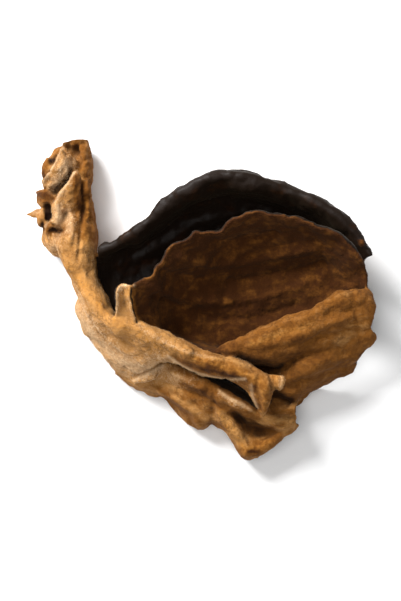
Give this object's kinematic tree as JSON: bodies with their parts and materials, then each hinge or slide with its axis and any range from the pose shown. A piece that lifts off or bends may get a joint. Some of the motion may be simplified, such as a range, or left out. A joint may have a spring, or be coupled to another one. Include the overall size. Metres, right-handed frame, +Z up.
{
  "type": "dried wood ear mushroom",
  "caption": "One dried wood ear: a puckered foot, a narrow neck and thin leathery lobes folded into a hem, a ribbed sheet, a cup and a bowl. It lies as picked.",
  "frame": {"origin": "middle of the bounding box at the surface that the mushroom lies on", "axes": "+X along the longest extent, from the foot's side to the broad lobe; +Y away from the near wall; +Z up, the shortest extent"},
  "size_m": [0.1064, 0.0978, 0.0317],
  "materials": {
    "dried_flesh": "matt short felt on the tan side, smooth near-black on the spore side"
  },
  "bodies": {
    "root": {"wood_ear": "dried_flesh"}
  },
  "joints": []
}
